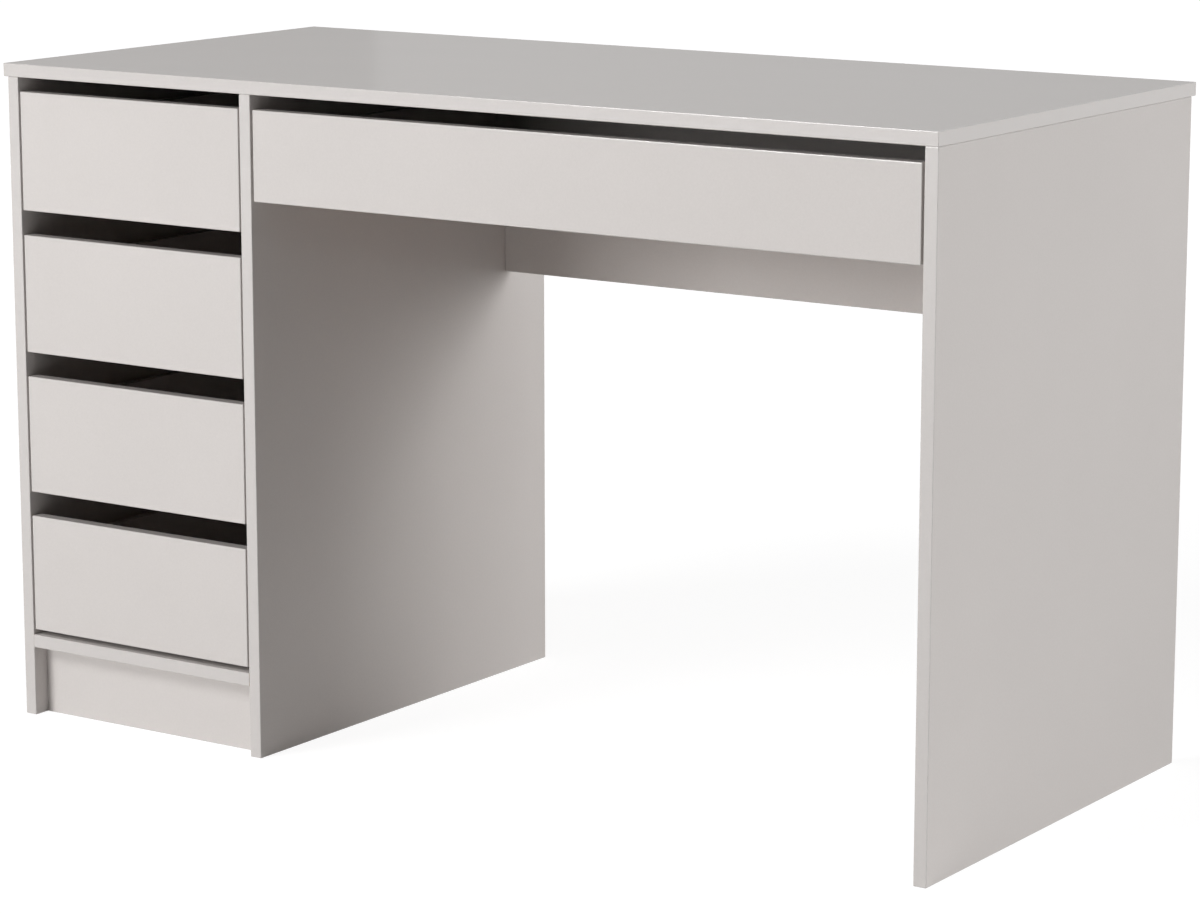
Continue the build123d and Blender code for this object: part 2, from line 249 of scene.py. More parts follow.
class DeskColours(bpy.types.PropertyGroup):
    """Colours of the desk's materials."""

    melamine: FloatVectorProperty(
        name="Melamine",
        description="Faces of the boards",
        default=linear("#D2CDCA"),
        subtype="COLOR",
        size=4,
    )
    edging: FloatVectorProperty(
        name="Edging",
        description="Edge bands of the boards",
        default=linear("#C9C4C1"),
        subtype="COLOR",
        size=4,
    )
    chipboard: FloatVectorProperty(
        name="Chipboard",
        description="Sawn edges and holes",
        default=linear("#B9966A"),
        subtype="COLOR",
        size=4,
    )
    hardboard: FloatVectorProperty(
        name="Hardboard",
        description="Uncoated side of thin sheets",
        default=linear("#8A6546"),
        subtype="COLOR",
        size=4,
    )
    zinc: FloatVectorProperty(
        name="Zinc",
        description="Plated rails and screws",
        default=linear("#C9CCCF"),
        subtype="COLOR",
        size=4,
    )
    beech: FloatVectorProperty(
        name="Beech",
        description="Dowels",
        default=linear("#D2AC7E"),
        subtype="COLOR",
        size=4,
    )


class StudioSettings(bpy.types.PropertyGroup):
    """The camera, the floor and the light around the desk."""

    camera_place: FloatVectorProperty(
        name="Camera place",
        description="Where the camera stands",
        default=(2.412, -3.530, 1.179),
        subtype="TRANSLATION",
    )
    camera_turn: FloatProperty(
        name="Camera turn",
        description="Turn to the left of straight ahead",
        default=0.5957,
        subtype="ANGLE",
    )
    camera_tilt: FloatProperty(
        name="Camera tilt",
        description="Tilt below the horizon",
        default=0.1977,
        subtype="ANGLE",
    )
    camera_lens: FloatProperty(
        name="Camera lens",
        description="Focal length of the camera",
        default=117.0,
        unit="CAMERA",
    )
    floor_size: FloatProperty(
        name="Floor size",
        description="Width of the floor",
        default=120.0,
        unit="LENGTH",
    )
    sky_strength: FloatProperty(
        name="Sky strength",
        description="Even light from all round",
        default=0.1,
        min=0.0,
    )


def per_metre(size):
    """The texture scale at which one feature measures a size in millimetres."""
    return 1.0 / (size * MM)


def add_node(tree, kind, settings):
    """Add a node. Its settings are properties, socket values, or outputs of other nodes to link."""
    made = tree.nodes.new(kind)
    properties = {k: v for k, v in settings.items() if isinstance(k, str) and k not in made.inputs}
    for name, value in properties.items():
        setattr(made, name, value)
    for name, value in settings.items():
        if name in properties:
            continue
        if isinstance(value, bpy.types.NodeSocket):
            tree.links.new(value, made.inputs[name])
        else:
            made.inputs[name].default_value = value
    return made


def new_material(name, **values):
    """A material with one principled shader, and the place on the piece. Socket values go by name."""
    material = bpy.data.materials.new(name)
    material.use_nodes = True
    tree = material.node_tree
    shader = tree.nodes["Principled BSDF"]
    for socket, value in values.items():
        shader.inputs[socket.replace("_", " ")].default_value = value
    place = add_node(tree, "ShaderNodeTexCoord", {}).outputs["Object"]
    return material, tree, shader, place


def shaded(colour, share):
    """A colour made lighter or darker by a share."""
    return (*(c * share for c in colour[:3]), 1.0)


def texture_surface(tree, shader, tone, relief, colour, dark, light, rough, depth):
    """Let one pattern move a shader's colour and roughness, and one stand out by a depth in mm."""
    smoothest, roughest = rough
    mixed = add_node(tree, "ShaderNodeMix", {
        "data_type": "RGBA",
        MIX_FACTOR: tone,
        COLOUR_A: shaded(colour, dark),
        COLOUR_B: shaded(colour, light),
    })
    roughness = add_node(tree, "ShaderNodeMapRange", {
        "Value": tone, "To Min": smoothest, "To Max": roughest,
    })
    bump = add_node(tree, "ShaderNodeBump", {"Height": relief, "Distance": depth * MM})
    tree.links.new(mixed.outputs[COLOUR_RESULT], shader.inputs["Base Color"])
    tree.links.new(roughness.outputs["Result"], shader.inputs["Roughness"])
    tree.links.new(bump.outputs["Normal"], shader.inputs["Normal"])


@cache
def cashmere_melamine():
    """Chipboard faced with paper in melamine resin, pressed against a finely pebbled plate."""
    # The paper is dull, and the resin over it shines softly where it is seen along the surface.
    # The plate's pebbles leave a faint grain. They are about 0.4 mm wide, too fine for the render,
    # so they are drawn 2.5 mm wide. The paper's colour clouds slightly over some 160 mm.
    material, tree, shader, place = new_material(
        "cashmere_melamine", IOR=1.5, Specular_IOR_Level=0.05,
        Coat_Weight=0.2, Coat_IOR=1.55, Coat_Roughness=0.12,
    )
    pebbles = add_node(tree, "ShaderNodeTexNoise", {
        "Vector": place, "Scale": per_metre(2.5), "Detail": 2.0, "Roughness": 0.6,
    })
    clouds = add_node(tree, "ShaderNodeTexNoise", {
        "Vector": place, "Scale": per_metre(160.0), "Detail": 3.0,
    })
    both = add_node(tree, "ShaderNodeMix", {
        "data_type": "FLOAT",
        MIX_FACTOR: 0.4,
        NUMBER_A: pebbles.outputs["Fac"],
        NUMBER_B: clouds.outputs["Fac"],
    })
    texture_surface(
        tree, shader, tone=both.outputs[NUMBER_RESULT], relief=pebbles.outputs["Fac"],
        colour=bpy.context.scene.desk_colours.melamine,
        dark=0.94, light=1.06, rough=(0.5, 0.6), depth=0.03,
    )
    return material


@cache
def abs_edging():
    """ABS band, extruded in the colour of the board, glued on and rounded with a cutter."""
    # Scraped plastic is smoother than the pressed face, so the rounded edges catch a fine light.
    # The scraper's waves are about 0.8 mm apart, drawn 2 mm wide so that they show.
    material, tree, shader, place = new_material("abs_edging", IOR=1.54, Specular_IOR_Level=1.0)
    waves = add_node(tree, "ShaderNodeTexNoise", {
        "Vector": place, "Scale": per_metre(2.0), "Detail": 2.0,
    })
    texture_surface(
        tree, shader, tone=waves.outputs["Fac"], relief=waves.outputs["Fac"],
        colour=bpy.context.scene.desk_colours.edging,
        dark=0.97, light=1.03, rough=(0.12, 0.18), depth=0.004,
    )
    return material


@cache
def raw_chipboard():
    """Chipboard as the saw and the drill leave it."""
    # Pressed wood flakes about 2 mm wide, each in its own brown, with dips between them.
    material, tree, shader, place = new_material("raw_chipboard", IOR=1.5)
    flakes = add_node(tree, "ShaderNodeTexVoronoi", {
        "Vector": place, "Scale": per_metre(2.2), "Randomness": 1.0,
    })
    tint = add_node(tree, "ShaderNodeSeparateColor", {"Color": flakes.outputs["Color"]})
    texture_surface(
        tree, shader, tone=tint.outputs["Red"], relief=flakes.outputs["Distance"],
        colour=bpy.context.scene.desk_colours.chipboard,
        dark=0.55, light=1.15, rough=(0.75, 0.9), depth=0.25,
    )
    return material


@cache
def raw_hardboard():
    """Hardboard on its uncoated side: wood fibres felted and pressed hot on a wire screen."""
    # A brown felt with lighter fibres a few millimetres long, and a waffle of the screen's wires,
    # 1.5 mm apart.
    material, tree, shader, place = new_material("raw_hardboard", IOR=1.5)
    fibres = add_node(tree, "ShaderNodeTexNoise", {
        "Vector": place, "Scale": per_metre(6.0), "Detail": 6.0, "Roughness": 0.75, "Distortion": 1.2,
    })
    screen = add_node(tree, "ShaderNodeTexVoronoi", {
        "Vector": place, "Scale": per_metre(1.5), "Randomness": 0.35,
    })
    texture_surface(
        tree, shader, tone=fibres.outputs["Fac"], relief=screen.outputs["Distance"],
        colour=bpy.context.scene.desk_colours.hardboard,
        dark=0.7, light=1.3, rough=(0.7, 0.85), depth=0.12,
    )
    return material


@cache
def coated_hardboard():
    """Hardboard on its good side: a roller-coated paint film in the colour of the boards."""
    # The rollers leave a smooth satin film with a very fine orange peel, drawn 2.5 mm wide.
    material, tree, shader, place = new_material("coated_hardboard", IOR=1.5)
    peel = add_node(tree, "ShaderNodeTexNoise", {
        "Vector": place, "Scale": per_metre(2.5), "Detail": 3.0,
    })
    texture_surface(
        tree, shader, tone=peel.outputs["Fac"], relief=peel.outputs["Fac"],
        colour=bpy.context.scene.desk_colours.melamine,
        dark=0.96, light=1.03, rough=(0.42, 0.55), depth=0.02,
    )
    return material


@cache
def zinc_plated_steel():
    """Cold-rolled steel strip and wire, bright zinc plated."""
    # Rolling leaves fine streaks along the runners, 0.8 mm wide and fifty times as long, and the
    # plating a slightly cloudy shine.
    material, tree, shader, place = new_material("zinc_plated_steel", Metallic=1.0)
    along = add_node(tree, "ShaderNodeMapping", {"Vector": place, "Scale": (1.0, 1.0 / 50.0, 1.0)})
    streaks = add_node(tree, "ShaderNodeTexNoise", {
        "Vector": along.outputs["Vector"], "Scale": per_metre(0.8), "Detail": 3.0,
    })
    clouds = add_node(tree, "ShaderNodeTexNoise", {
        "Vector": place, "Scale": per_metre(18.0), "Detail": 2.0,
    })
    both = add_node(tree, "ShaderNodeMix", {
        "data_type": "FLOAT",
        MIX_FACTOR: 0.45,
        NUMBER_A: streaks.outputs["Fac"],
        NUMBER_B: clouds.outputs["Fac"],
    })
    texture_surface(
        tree, shader, tone=both.outputs[NUMBER_RESULT], relief=streaks.outputs["Fac"],
        colour=bpy.context.scene.desk_colours.zinc,
        dark=0.82, light=1.08, rough=(0.24, 0.46), depth=0.006,
    )
    return material


@cache
def die_cast_zinc():
    """Zinc alloy cast in a steel die and tumbled."""
    # Tumbling rounds the casting's skin to a dull grey with small dimples about 0.6 mm wide.
    material, tree, shader, place = new_material("die_cast_zinc", Metallic=1.0)
    dimples = add_node(tree, "ShaderNodeTexNoise", {
        "Vector": place, "Scale": per_metre(0.6), "Detail": 2.0,
    })
    texture_surface(
        tree, shader, tone=dimples.outputs["Fac"], relief=dimples.outputs["Fac"],
        colour=bpy.context.scene.desk_colours.zinc,
        dark=0.6, light=0.85, rough=(0.42, 0.6), depth=0.03,
    )
    return material


@cache
def fluted_beech():
    """Raw beech rod, rolled between fluted wheels."""
    # Pale pinkish wood with small dark flecks about 1 mm across.
    material, tree, shader, place = new_material("fluted_beech", IOR=1.5)
    flecks = add_node(tree, "ShaderNodeTexNoise", {
        "Vector": place, "Scale": per_metre(1.2), "Detail": 4.0, "Distortion": 0.6,
    })
    texture_surface(
        tree, shader, tone=flecks.outputs["Fac"], relief=flecks.outputs["Fac"],
        colour=bpy.context.scene.desk_colours.beech,
        dark=0.78, light=1.1, rough=(0.55, 0.7), depth=0.03,
    )
    return material


def mesh_of(bm, *materials):
    """Turn a bmesh into a mesh with materials."""
    mesh = bpy.data.meshes.new("made")
    bm.to_mesh(mesh)
    bm.free()
    for material in materials:
        mesh.materials.append(material)
    return mesh


def add_object(name, data):
    """A new object in the scene."""
    made = bpy.data.objects.new(name, data)
    bpy.context.scene.collection.objects.link(made)
    return made


def modified(mesh, kind, **settings):
    """The mesh that a modifier makes of another one."""
    holder = add_object("holder", mesh)
    modifier = holder.modifiers.new(kind, kind)
    for name, value in settings.items():
        setattr(modifier, name, value)
    graph = bpy.context.evaluated_depsgraph_get()
    made = bpy.data.meshes.new_from_object(holder.evaluated_get(graph), depsgraph=graph)
    bpy.data.objects.remove(holder)
    return made


def cut(mesh, cutters):
    """A mesh with cutters taken away. The cut faces keep the cutters' material."""
    if not cutters:
        return mesh
    bm = bmesh.new()
    for cutter in cutters:
        bm.from_mesh(cutter)
    tool = add_object("cutters", mesh_of(bm, *cutters[0].materials))
    made = modified(
        mesh, "BOOLEAN", operation="DIFFERENCE", solver="EXACT", use_self=True,
        material_mode="TRANSFER", object=tool,
    )
    bpy.data.objects.remove(tool)
    return made


def smooth(mesh):
    """Smooth shading, with the sharp edges kept."""
    mesh.polygons.foreach_set("use_smooth", [True] * len(mesh.polygons))
    mesh.set_sharp_from_angle(angle=SHARP_ANGLE)


def show(node, mesh):
    """Show a mesh in place of a node of the frame, on the same body."""
    smooth(mesh)
    piece = add_object(f"{node}_finished", mesh)
    mesh.name = piece.name
    normals = piece.modifiers.new("even_normals", "WEIGHTED_NORMAL")
    normals.keep_sharp = True
    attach(piece, frame["nodes"][node]["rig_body"])
    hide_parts(node)
    return piece


def side_of(normal):
    """The name of the side that a face's normal looks to."""
    axis = max(range(3), key=lambda i: abs(normal[i]))
    end = int(normal[axis] > 0)
    return next(name for name, side in SIDES.items() if side == (axis, end))


def one_finish(side):
    """The first finish, whichever side it is for."""
    return 0


def box_mesh(low, high, materials, finish_of):
    """A plain box between two corners, its sides finished by name."""
    bm = bmesh.new()
    bmesh.ops.create_cube(bm, size=1.0)
    for corner in bm.verts:
        corner.co = [b if c > 0 else a for a, b, c in zip(low, high, corner.co)]
    bm.normal_update()
    for face in bm.faces:
        face.material_index = finish_of(side_of(face.normal))
    return mesh_of(bm, *materials)


def rounded_box(low, high, materials, finish_of, raw, rim=BESIDE):
    """A box with rounded edges, only eased beside raw sides. The rim is the finish of the roundings."""
    sizes = bpy.context.scene.desk_sizes
    mesh = box_mesh(low, high, materials, finish_of)
    beside = {}
    for face in mesh.polygons:
        for key in face.edge_keys:
            beside.setdefault(key, []).append(face.material_index)
    weights = mesh.attributes.new("bevel_weight_edge", "FLOAT", "EDGE")
    eased = sizes.eased_radius / sizes.edge_radius
    for edge in mesh.edges:
        weights.data[edge.index].value = eased if raw in beside[edge.key] else 1.0
    return modified(
        mesh, "BEVEL", width=sizes.edge_radius, segments=sizes.edge_segments,
        limit_method="WEIGHT", material=rim,
    )


def overlap(low, high, other_low, other_high):
    """How far two boxes reach into each other, along the axis where they do so least."""
    return min(min(b, d) - max(a, c) for a, b, c, d in zip(low, high, other_low, other_high))


def solids_of(node):
    """The points of each separate solid of a node."""
    bm = bmesh.new()
    bm.from_mesh(frame["nodes"][node].data)
    bmesh.ops.remove_doubles(bm, verts=bm.verts, dist=WELD)
    solids = []
    seen = set()
    for first in bm.verts:
        if first in seen:
            continue
        seen.add(first)
        waiting = [first]
        points = []
        while waiting:
            vertex = waiting.pop()
            points.append(vertex.co.copy())
            beside = {edge.other_vert(vertex) for edge in vertex.link_edges} - seen
            seen |= beside
            waiting.extend(beside)
        solids.append(points)
    bm.free()
    return solids


def corners_of(points):
    """The lowest and highest corner of some points."""
    return Vector(map(min, *points)), Vector(map(max, *points))


def off_axis(point, axis):
    """How far a point lies from one of the three axes."""
    return math.sqrt(point.length_squared - point[axis] ** 2)


def fitting_of(points):
    """What a turned solid is, where the top of its axis is and which way that looks."""
    low, high = corners_of(points)
    size = high - low
    middle = (low + high) / 2
    # A turned piece is as wide as it is deep, so its axis is the odd one of its three sizes.
    axis = min(range(3), key=lambda i: abs(size[i - 1] - size[i - 2]))
    radius = max(size[axis - 1], size[axis - 2]) / 2
    length = size[axis]
    kind = min(FITTING_RADII, key=lambda name: abs(FITTING_RADII[name] - radius))
    # The head tells which end is the top. On a cam the recess does, as its points lie near the face.
    telling = points
    if kind != "cam":
        telling = [p for p in points if off_axis(p - middle, axis) > HEAD_SHARE * radius]
    upwards = sum(p[axis] for p in telling) / len(telling) > middle[axis]
    top = middle.copy()
    top[axis] = high[axis] if upwards else low[axis]
    direction = Vector((0.0, 0.0, 0.0))
    direction[axis] = 1.0 if upwards else -1.0
    if kind == "screw":
        kind = "countersunk" if length > LONG_SCREW else "pan"
    return Fitting(kind, top, direction, radius, length)


@cache
def fittings_of(node):
    """The turned fittings of a node."""
    return [fitting_of(points) for points in solids_of(node)]


@cache
def all_fittings():
    """Every turned fitting of the desk."""
    names = ["cam_locks", "cam_bolts", "dowels", "cabinet_rail_screws", "back_panel_pins"]
    names += [f"{drawer}_fixings" for drawer in DRAWERS]
    return [fitting for name in names for fitting in fittings_of(name)]


def placed(mesh, fitting):
    """A copy of a mesh that was made along Z, put on a fitting's axis."""
    copy = mesh.copy()
    turn = fitting.axis.to_track_quat("Z", "Y").to_matrix().to_4x4()
    copy.transform(Matrix.Translation(fitting.top) @ turn)
    return copy


def turned(profile, material, steps=TURNED_STEPS):
    """A closed piece turned round Z, from radii and heights that run from its lower to its upper end."""
    bm = bmesh.new()
    angles = [2 * math.pi * i / steps for i in range(steps)]
    rings = []
    for radius, height in profile:
        ring = [(radius * math.cos(a), radius * math.sin(a), height) for a in angles]
        rings.append([bm.verts.new(point) for point in ring])
    for below, above in zip(rings, rings[1:]):
        for i in range(steps):
            j = (i + 1) % steps
            bm.faces.new((below[i], below[j], above[j], above[i]))
    bm.faces.new(reversed(rings[0]))
    bm.faces.new(rings[-1])
    return mesh_of(bm, material)


def thread(radius, low, high):
    """The profile of a thread between two heights, drawn as rings."""
    turns = max(1, round((high - low) / THREAD_PITCH))
    step = (high - low) / turns
    points = []
    for i in range(turns):
        points.append((radius * THREAD_CORE, low + i * step))
        points.append((radius, low + (i + 0.5) * step))
    return points + [(radius * THREAD_CORE, high)]


def crossed(mesh, cross):
    """A turned piece with a cross recess in its top."""
    length, width, depth = cross
    metal = mesh.materials[0]
    arms = []
    for across, along in ((length, width), (width, length)):
        low = (-across / 2, -along / 2, -depth)
        high = (across / 2, along / 2, PAST_FACE)
        arms.append(box_mesh(low, high, [metal], one_finish))
    return cut(mesh, arms)


@cache
def cam(radius, length):
    """A cam lock with a cross recess."""
    profile = [(radius - RIM, -length), (radius, RIM - length), (radius, -RIM), (radius - RIM, 0.0)]
    return crossed(turned(profile, die_cast_zinc()), CAM_CROSS)


@cache
def bolt(radius, length):
    """A cam bolt: thread, shank, neck and head."""
    joint = BOLT_THREAD_LENGTH - length
    neck = -BOLT_HEAD_LENGTH - BOLT_NECK_LENGTH
    profile = [
        *thread(BOLT_THREAD_RADIUS, -length, joint),
        (radius, joint),
        (radius, neck),
        (BOLT_NECK_RADIUS, neck),
        (BOLT_NECK_RADIUS, -BOLT_HEAD_LENGTH),
        (radius - RIM, -BOLT_HEAD_LENGTH),
        (radius, RIM - BOLT_HEAD_LENGTH),
        (radius, -RIM),
        (radius - RIM, 0.0),
    ]
    return turned(profile, zinc_plated_steel())


@cache
def pan(radius, length):
    """A pan-head screw with a cross recess."""
    tip = SCREW_POINT - length
    rise = PAN_HEIGHT - PAN_RIM
    profile = [(RIM, -length), *thread(THREAD_RADIUS, tip, -PAN_HEIGHT), (radius, -PAN_HEIGHT)]
    for i in range(DOME_STEPS + 1):
        angle = math.pi / 2 * i / DOME_STEPS
        profile.append((PAN_FLAT + (radius - PAN_FLAT) * math.cos(angle), rise * (math.sin(angle) - 1)))
    return crossed(turned(profile, zinc_plated_steel()), SCREW_CROSS)


@cache
def countersunk(radius, length):
    """A countersunk screw with a cross recess."""
    tip = SCREW_POINT - length
    profile = [(RIM, -length), *thread(THREAD_RADIUS, tip, -COUNTERSINK), (radius, -RIM), (radius, 0.0)]
    return crossed(turned(profile, zinc_plated_steel()), SCREW_CROSS)


@cache
def pin(radius, length):
    """A round wire pin with a flat head."""
    tip = SCREW_POINT - length
    profile = [
        (PIN_POINT, -length),
        (PIN_RADIUS, tip),
        (PIN_RADIUS, -PIN_HEAD_HEIGHT),
        (radius, -PIN_HEAD_HEIGHT),
        (radius, -RIM),
        (radius - RIM, 0.0),
    ]
    return turned(profile, zinc_plated_steel())


@cache
def dowel(radius, length):
    """A fluted dowel with chamfered ends."""
    steps = FLUTE_STEPS * DOWEL_FLUTES
    end = radius - DOWEL_CHAMFER
    profile = [(end, -length), (radius, DOWEL_CHAMFER - length), (radius, -DOWEL_CHAMFER), (end, 0.0)]
    mesh = turned(profile, fluted_beech(), steps)
    for vertex in mesh.vertices:
        in_chamfer = math.hypot(vertex.co.x, vertex.co.y) < radius - DOWEL_CHAMFER / 2
        if in_chamfer:
            continue
        angle = math.atan2(vertex.co.y, vertex.co.x)
        share = 1 - DOWEL_FLUTE_DEPTH / radius * (0.5 - 0.5 * math.cos(DOWEL_FLUTES * angle))
        vertex.co.x *= share
        vertex.co.y *= share
    return mesh


FITTING_MAKERS = {
    "cam": cam,
    "bolt": bolt,
    "pan": pan,
    "countersunk": countersunk,
    "pin": pin,
    "dowel": dowel,
}


def show_fittings(node):
    """Show every fitting of a node as one piece."""
    materials = []
    bm = bmesh.new()
    for fitting in fittings_of(node):
        maker = FITTING_MAKERS[fitting.kind]
        plain = maker(round(fitting.radius, SIZE_DIGITS), round(fitting.length, SIZE_DIGITS))
        mesh = placed(plain, fitting)
        material = mesh.materials[0]
        if material not in materials:
            materials.append(material)
        index = materials.index(material)
        for face in mesh.polygons:
            face.material_index = index
        bm.from_mesh(mesh)
    return show(node, mesh_of(bm, *materials))


def hole_for(fitting):
    """What a fitting takes out of the boards that it goes into."""
    room = bpy.context.scene.desk_sizes.hole_clearance
    low = -fitting.length - room
    wide = fitting.radius + room
    narrow = SHANK_RADII.get(fitting.kind, fitting.radius) + room
    # The holes under flat heads end inside the head, which covers them.
    profiles = {
        "cam": [(wide, low), (wide, PAST_FACE)],
        "bolt": [(wide, low), (wide, room)],
        "dowel": [(wide, low), (wide, room)],
        "pan": [(narrow, low), (narrow, -PAN_HEIGHT / 2)],
        "pin": [(narrow, low), (narrow, -PIN_HEAD_HEIGHT / 2)],
        "countersunk": [(narrow, low), (narrow, -COUNTERSINK), (wide, -RIM), (wide, PAST_FACE)],
    }
    return placed(turned(profiles[fitting.kind], raw_chipboard()), fitting)


def holes_in(low, high):
    """The holes of every fitting that reaches into a board."""
    found = []
    for fitting in all_fittings():
        tip = fitting.top - fitting.axis * fitting.length
        reach = Vector([fitting.radius * (1 - abs(a)) for a in fitting.axis])
        ends = [end + reach * way for end in (fitting.top, tip) for way in (-1, 1)]
        if overlap(low, high, *corners_of(ends)) > FITTING_REACH:
            found.append(hole_for(fitting))
    return found


def grooves_in(low, high, sheets):
    """The grooves of the thin sheets that reach into a board."""
    room = Vector([bpy.context.scene.desk_sizes.groove_clearance] * 3)
    found = []
    for sheet in sheets:
        sheet_low, sheet_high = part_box(sheet)
        if overlap(low, high, sheet_low, sheet_high) > SHEET_REACH:
            groove = box_mesh(sheet_low - room, sheet_high + room, [raw_chipboard()], one_finish)
            found.append(groove)
    return found


def show_board(node, bands, sheets):
    """A melamine board: faced on both sides, banded on some edges and sawn on the others."""
    low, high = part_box(node)
    size = high - low
    across = min(range(3), key=lambda i: size[i])
    faced, banded, sawn = 0, 1, 2

    def finish_of(side):
        if SIDES[side][0] == across:
            return faced
        return banded if side in bands else sawn

    materials = [cashmere_melamine(), abs_edging(), raw_chipboard()]
    rim = banded if bands == ALL_ROUND else BESIDE
    mesh = rounded_box(low, high, materials, finish_of, sawn, rim)
    mesh = cut(mesh, holes_in(low, high) + grooves_in(low, high, sheets))
    return show(node, mesh)


def show_sheet(node, good_side):
    """A thin hardboard sheet, coated on its good side."""
    low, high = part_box(node)
    coated, raw = 0, 1

    def finish_of(side):
        return coated if side == good_side else raw

    mesh = rounded_box(low, high, [coated_hardboard(), raw_hardboard()], finish_of, raw)
    return show(node, cut(mesh, holes_in(low, high)))


def bent_line(corners, radius):
    """A line through corners with round bends, as points and the normals to their left."""
    points = []
    for i, corner in enumerate(corners):
        if i in (0, len(corners) - 1):
            points.append(corner)
            continue
        before = (corners[i - 1] - corner).normalized()
        after = (corners[i + 1] - corner).normalized()
        half = before.angle(after) / 2
        middle = corner + (before + after).normalized() * (radius / math.sin(half))
        start = corner + before * (radius / math.tan(half)) - middle
        sweep = math.pi - 2 * half
        if before.x * after.y - before.y * after.x > 0:
            sweep = -sweep
        for k in range(BEND_STEPS + 1):
            points.append(middle + Matrix.Rotation(sweep * k / BEND_STEPS, 2) @ start)
    normals = []
    for i in range(len(points)):
        along = points[min(i + 1, len(points) - 1)] - points[max(i - 1, 0)]
        normals.append(Vector((-along.y, along.x)).normalized())
    return points, normals


def rail_section(width, height, lip):
    """The corners of a rail's middle line, seen along it: its web, flanges, and lips if it has any."""
    half_sheet = bpy.context.scene.desk_sizes.rail_sheet / 2
    half = height / 2 - half_sheet
    web = [Vector((half_sheet, -half)), Vector((half_sheet, half))]
    if not lip:
        return [Vector((width, -half)), *web, Vector((width, half))]
    end = width - half_sheet
    lower = [Vector((end, lip - half)), Vector((end, -half))]
    upper = [Vector((end, half)), Vector((end, half - lip))]
    return [*lower, *web, *upper]


def rail_mesh(points, lip):
    """A rail of bent steel in the place of a solid, and where its web stands."""
    sizes = bpy.context.scene.desk_sizes
    low, high = corners_of(points)
    middle = (low + high) / 2
    height = high.z - low.z
    # Near the middle of its height a rail has only its web, so the points there lie on that side.
    in_web = [p.x for p in points if abs(p.z - middle.z) < height / 4]
    inwards = 1.0 if sum(in_web) / len(in_web) < middle.x else -1.0
    web = low.x if inwards > 0 else high.x
    half_sheet = sizes.rail_sheet / 2
    line, normals = bent_line(rail_section(high.x - low.x, height, lip), sizes.rail_bend)
    bm = bmesh.new()
    strips = []
    for y in (low.y, high.y):
        for offset in (half_sheet, -half_sheet):
            flat = [p + n * offset for p, n in zip(line, normals)]
            strips.append([bm.verts.new((web + inwards * p.x, y, middle.z + p.y)) for p in flat])
    left_front, right_front, left_rear, right_rear = strips
    around = [left_front, left_rear, right_rear, right_front]
    for first, second in zip(around, around[1:] + around[:1]):
        for i in range(len(line) - 1):
            bm.faces.new((first[i], first[i + 1], second[i + 1], second[i]))
    for i in (0, len(line) - 1):
        bm.faces.new([strip[i] for strip in around])
    bmesh.ops.recalc_face_normals(bm, faces=bm.faces)
    return mesh_of(bm, zinc_plated_steel()), web


def rail_holes(points, web, radius):
    """Drill holes in a rail's web where the screws of its runner stand."""
    low, high = corners_of(points)
    reach = 2 * (high.x - low.x)  # the screws of other runners stand further off
    places = set()
    for fitting in all_fittings():
        top = fitting.top
        sideways = fitting.kind == "pan" and fitting.axis.x != 0
        within = low.y < top.y < high.y and low.z < top.z < high.z
        if sideways and within and abs(top.x - web) < reach:
            places.add((round(top.y, PLACE_DIGITS), round(top.z, PLACE_DIGITS)))
    depth = 2 * bpy.context.scene.desk_sizes.rail_sheet
    drill = turned([(radius, -depth), (radius, depth)], zinc_plated_steel())
    across = Vector((1.0, 0.0, 0.0))
    spots = [Fitting("hole", Vector((web, y, z)), across, radius, depth) for y, z in sorted(places)]
    return [placed(drill, spot) for spot in spots]


def show_rails(node, hole_radius, lip=0.0):
    """Show the rails of a node as one piece."""
    bm = bmesh.new()
    for points in solids_of(node):
        mesh, web = rail_mesh(points, lip)
        bm.from_mesh(cut(mesh, rail_holes(points, web, hole_radius)))
    return show(node, mesh_of(bm, zinc_plated_steel()))


def cage_mesh(points):
    """A strip of steel that holds a row of balls, in the place of a solid."""
    sizes = bpy.context.scene.desk_sizes
    low, high = corners_of(points)
    radius = (high.z - low.z) / 2
    middle = (low + high) / 2
    half_strip = sizes.rail_sheet / 4  # half as thick as the rails
    strip_low = Vector((low.x, low.y, middle.z - half_strip))
    strip_high = Vector((high.x, high.y, middle.z + half_strip))
    count = int((high.y - low.y) / sizes.ball_pitch)
    pitch = (high.y - low.y) / count
    bm = bmesh.new()
    bm.from_mesh(rounded_box(strip_low, strip_high, [zinc_plated_steel()], one_finish, raw=0))
    for i in range(count):
        place = Matrix.Translation((middle.x, low.y + (i + 0.5) * pitch, middle.z))
        bmesh.ops.create_icosphere(bm, subdivisions=BALL_DETAIL, radius=radius, matrix=place)
    return mesh_of(bm, zinc_plated_steel())


def show_cages(node):
    """Show the ball cages of a node as one piece."""
    bm = bmesh.new()
    for points in solids_of(node):
        bm.from_mesh(cage_mesh(points))
    return show(node, mesh_of(bm, zinc_plated_steel()))


class DESK_OT_carcass(bpy.types.Operator):
    """Build the desk top, the uprights, the pedestal's bottom and plinth, and the apron"""

    bl_idname = "writing_desk.carcass"
    bl_label = "Carcass boards"

    def execute(self, context):
        for node, bands in CARCASS_BANDS.items():
            show_board(node, bands, ["pedestal_back_panel"])
        return {"FINISHED"}


class DESK_OT_pedestal_back(bpy.types.Operator):
    """Build the thin back of the pedestal"""

    bl_idname = "writing_desk.pedestal_back"
    bl_label = "Pedestal back"

    def execute(self, context):
        show_sheet("pedestal_back_panel", "front")
        return {"FINISHED"}


